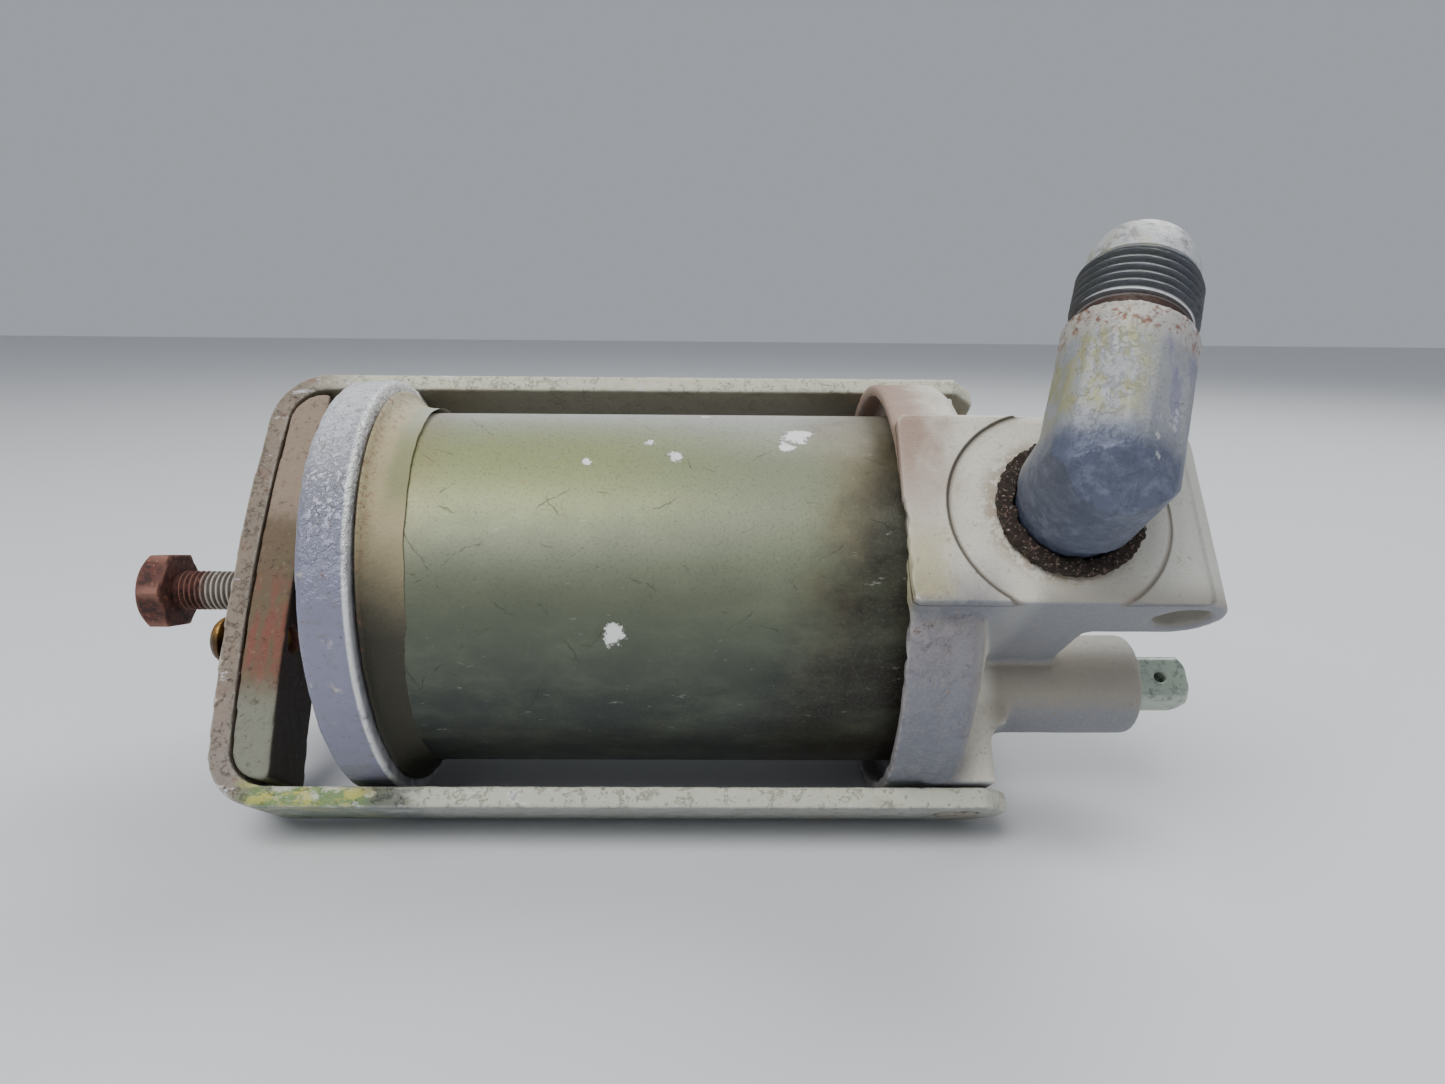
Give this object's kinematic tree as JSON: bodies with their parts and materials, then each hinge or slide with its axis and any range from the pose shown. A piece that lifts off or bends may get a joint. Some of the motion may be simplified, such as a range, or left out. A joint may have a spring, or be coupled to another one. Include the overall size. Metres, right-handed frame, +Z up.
{
  "type": "bowl strainer",
  "caption": "Bowl strainer with a cast head, side inlet elbow and tubular bowl, held by a swinging strap bail with a clamp screw.",
  "frame": {"origin": "centre of the footprint box on the bench plane that the strainer lies on", "axes": "+X along the bowl towards the head, +Y to the rear of the pictured view, +Z up from the bench; the bail plane leans back about X"},
  "size_m": [0.2064, 0.0992, 0.1115],
  "materials": {
    "cream_paint": "worn cream paint over a casting",
    "green_anodise": "faded green anodise, scratched",
    "silver_paint": "pebbled silver paint",
    "sandy_sealant": "dusty sealed cove",
    "strap_paint": "worn pale sage paint",
    "bar_patina": "brown patina with rust",
    "rusty_steel": "rusted steel",
    "pin_steel": "worn steel",
    "brass": "aged brass",
    "elbow_aluminium": "weathered bare aluminium",
    "crust": "dark granular old sealant",
    "plug_aluminium": "pale greenish aluminium",
    "nitrile": "black rubber",
    "inner_steel": "clean steel"
  },
  "bodies": {
    "head": {"head_casting": "cream_paint", "standpipe": "elbow_aluminium", "inlet_elbow": "elbow_aluminium", "elbow_sealant": "crust", "upper_pivot_pin": "pin_steel", "lower_pivot_pin": "pin_steel", "bypass_seat": "brass", "bypass_spring": "inner_steel", "bypass_plug": "plug_aluminium", "bowl_tube": "green_anodise", "bowl_gasket": "nitrile", "base_cap": "silver_paint", "base_gasket": "nitrile", "bowl_foot_ring": "sandy_sealant", "element_top_cap": "elbow_aluminium", "element_seal": "nitrile", "element_screen": "inner_steel", "element_bottom_cap": "elbow_aluminium", "element_spring": "inner_steel"},
    "bail": {"bail_strap": "strap_paint", "thread_bar": "bar_patina", "bar_rivet": "brass"},
    "pad": {"thrust_pad": "rusty_steel"},
    "screw": {"clamp_screw": "rusty_steel"},
    "poppet": {"bypass_poppet": "brass"}
  },
  "joints": [
    {"name": "bail_swing", "type": "hinge", "parent": "head", "child": "bail", "pos_m": [0.05645, 0.00825, 0.04138], "axis": [0, 0.6067, 0.795], "range_deg": [0, 95]},
    {"name": "screw_advance", "type": "slide", "parent": "bail", "child": "pad", "axis": [1, 0, 0], "range_m": [0, 0.006]},
    {"name": "screw_turn", "type": "hinge", "parent": "pad", "child": "screw", "pos_m": [-0.08815, 0.00734, 0.04019], "axis": [1, 0, 0], "range_deg": [0, 2045]},
    {"name": "bypass_lift", "type": "slide", "parent": "head", "child": "poppet", "axis": [1, 0, 0], "range_m": [0, 0.0035], "stiffness_N_per_m": 900, "springref_m": -0.003, "deforming": ["bypass_spring"]}
  ],
  "couplings": [
    {"joint": "screw_turn", "follows": "screw_advance", "rad_per_m": 5936.9}
  ]
}
